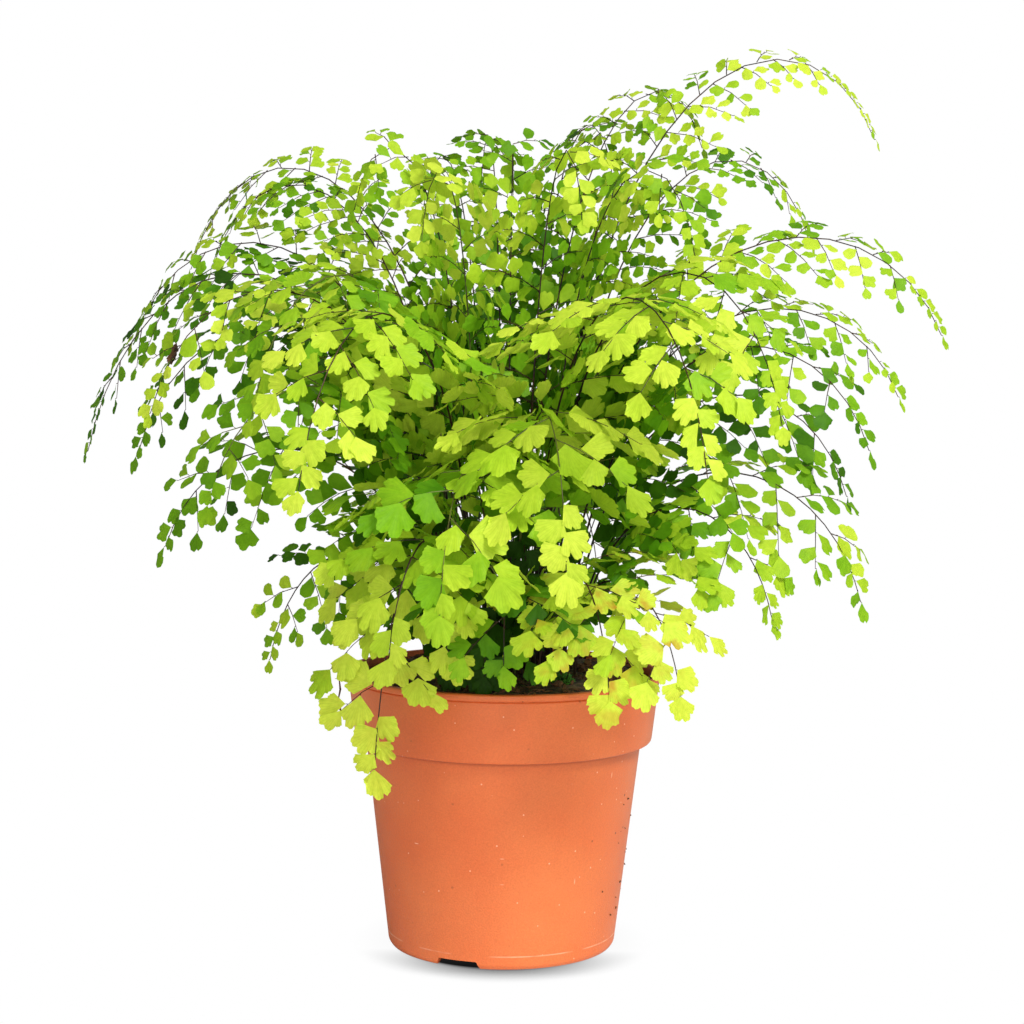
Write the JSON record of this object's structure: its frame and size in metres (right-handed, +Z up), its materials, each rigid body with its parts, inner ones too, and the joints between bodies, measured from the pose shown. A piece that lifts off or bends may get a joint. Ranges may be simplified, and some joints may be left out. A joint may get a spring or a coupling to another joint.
{
  "type": "potted maidenhair fern",
  "caption": "Leafy maidenhair fern with arching wiry fronds and fan-shaped leaflets, standing in potting soil in a tapered plastic nursery pot.",
  "frame": {"origin": "on the pot's axis, on the surface that the pot stands on", "axes": "+Z up, the front of the plant towards -Y, +X to the right seen from the front"},
  "size_m": [0.3205, 0.2887, 0.3405],
  "materials": {
    "pot_plastic": "terracotta orange moulded plastic, faintly satin, with fine mottling, short scuffs and specks of soil",
    "potting_soil": "damp black-brown peat with fibres and specks of moss",
    "fern_leaf": "thin matt leaflets from bright lime to deep green, on near-black wiry stalks"
  },
  "bodies": {
    "root": {"pot": "pot_plastic", "soil": "potting_soil", "frond_01": "fern_leaf", "frond_02": "fern_leaf", "frond_03": "fern_leaf", "frond_04": "fern_leaf", "frond_05": "fern_leaf", "frond_06": "fern_leaf", "frond_07": "fern_leaf", "frond_08": "fern_leaf", "frond_09": "fern_leaf", "frond_10": "fern_leaf", "frond_11": "fern_leaf", "frond_12": "fern_leaf", "frond_13": "fern_leaf", "frond_14": "fern_leaf", "frond_15": "fern_leaf", "frond_16": "fern_leaf", "frond_17": "fern_leaf", "frond_18": "fern_leaf", "frond_19": "fern_leaf", "frond_20": "fern_leaf", "frond_21": "fern_leaf", "frond_22": "fern_leaf", "frond_23": "fern_leaf", "frond_24": "fern_leaf", "frond_25": "fern_leaf", "frond_26": "fern_leaf", "frond_27": "fern_leaf", "frond_28": "fern_leaf", "frond_29": "fern_leaf", "frond_30": "fern_leaf", "frond_31": "fern_leaf", "frond_32": "fern_leaf", "frond_33": "fern_leaf", "frond_34": "fern_leaf", "frond_35": "fern_leaf", "frond_36": "fern_leaf", "frond_37": "fern_leaf", "frond_38": "fern_leaf", "frond_39": "fern_leaf", "frond_40": "fern_leaf", "frond_41": "fern_leaf", "frond_42": "fern_leaf", "frond_43": "fern_leaf"}
  },
  "joints": []
}
